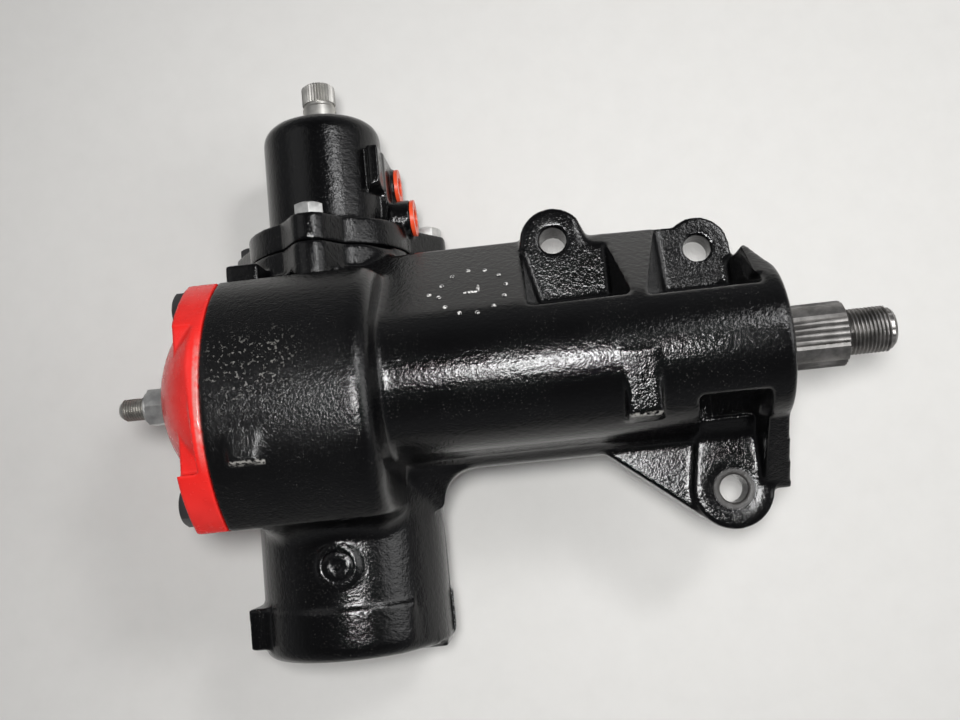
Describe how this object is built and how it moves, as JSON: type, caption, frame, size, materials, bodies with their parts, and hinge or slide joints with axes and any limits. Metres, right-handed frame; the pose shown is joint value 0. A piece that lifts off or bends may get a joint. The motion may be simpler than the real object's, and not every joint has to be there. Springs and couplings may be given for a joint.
{
  "type": "steering gearbox",
  "caption": "Power steering gearbox: a ball-screw worm drives a rack piston that turns a splined sector shaft, in a black cast housing with a red side cover.",
  "frame": {"origin": "on the sector shaft's axis, where the arm spline ends and the arm nut's thread begins", "axes": "+X along the sector shaft towards the steering arm, +Y along the input shaft towards the steering column, +Z along the frame bolt holes, away from the frame rail"},
  "size_m": [0.38, 0.3181, 0.1605],
  "materials": {
    "black_paint": "gloss black paint over rough cast iron",
    "red_paint": "semi-gloss red paint over a casting",
    "black_steel": "black painted bolt",
    "zinc": "zinc plated",
    "shaft_steel": "machined bare steel",
    "gear_steel": "ground and oiled steel",
    "race_steel": "ground bearing steel",
    "ball_steel": "polished bearing steel",
    "bronze": "plain bronze or brass",
    "rubber": "matt rubber",
    "ring_polymer": "filled polymer",
    "plug_plastic": "orange moulded plastic"
  },
  "bodies": {
    "housing": {"housing": "black_paint", "sector_cover": "red_paint", "cover_bolts": "black_steel", "cover_bush": "bronze", "cover_seal": "rubber", "adjuster_locknut": "zinc", "inner_bearing_shell": "race_steel", "inner_bearing_rollers": "ball_steel", "outer_bearing_shell": "race_steel", "outer_bearing_rollers": "ball_steel", "sector_oil_seal": "rubber", "sector_dust_seal": "rubber", "sector_snap_ring": "black_steel", "valve_housing": "black_paint", "valve_bolts": "zinc", "valve_joint_seal": "rubber", "bearing_race_nut": "gear_steel", "worm_bearing_outer": "race_steel", "worm_bearing_balls": "ball_steel", "input_bearing": "race_steel", "input_seal": "rubber", "input_snap_ring": "black_steel", "pressure_seat": "bronze", "return_seat": "bronze", "pressure_plug": "plug_plastic", "return_plug": "plug_plastic"},
    "sector": {"sector_shaft": "shaft_steel"},
    "adjuster": {"adjuster_screw": "zinc", "adjuster_shim": "race_steel"},
    "piston": {"piston": "gear_steel", "piston_ring": "ring_polymer", "piston_plug": "gear_steel", "bearing_balls": "ball_steel", "ball_guides": "zinc", "guide_clamp": "zinc", "guide_screws": "black_steel"},
    "worm": {"worm": "gear_steel", "worm_bearing_inner": "race_steel", "valve_sleeve": "gear_steel", "sleeve_rings": "ring_polymer", "torsion_bar": "gear_steel", "torsion_pin_low": "race_steel"},
    "input": {"input_shaft": "shaft_steel", "torsion_pin_high": "race_steel"}
  },
  "joints": [
    {"name": "sector_turn", "type": "hinge", "parent": "housing", "child": "sector", "pos_m": [0, 0, 0], "axis": [1, 0, 0], "range_deg": [-42, 42]},
    {"name": "piston_slide", "type": "slide", "parent": "housing", "child": "piston", "axis": [0, 1, 0], "range_m": [-0.02345, 0.02345]},
    {"name": "worm_turn", "type": "hinge", "parent": "housing", "child": "worm", "pos_m": [-0.257, 0, -0.058], "axis": [0, 1, 0], "range_deg": [-715, 715]},
    {"name": "valve_twist", "type": "hinge", "parent": "worm", "child": "input", "pos_m": [-0.257, 0, -0.058], "axis": [0, 1, 0], "range_deg": [-4, 4], "stiffness_Nm_per_rad": 100},
    {"name": "lash_adjust", "type": "hinge", "parent": "housing", "child": "adjuster", "pos_m": [-0.34, 0, 0], "axis": [1, 0, 0], "range_deg": [-90, 90]}
  ],
  "couplings": [
    {"joint": "sector_turn", "follows": "piston_slide", "rad_per_m": 31.25},
    {"joint": "worm_turn", "follows": "piston_slide", "rad_per_m": -531.25}
  ]
}
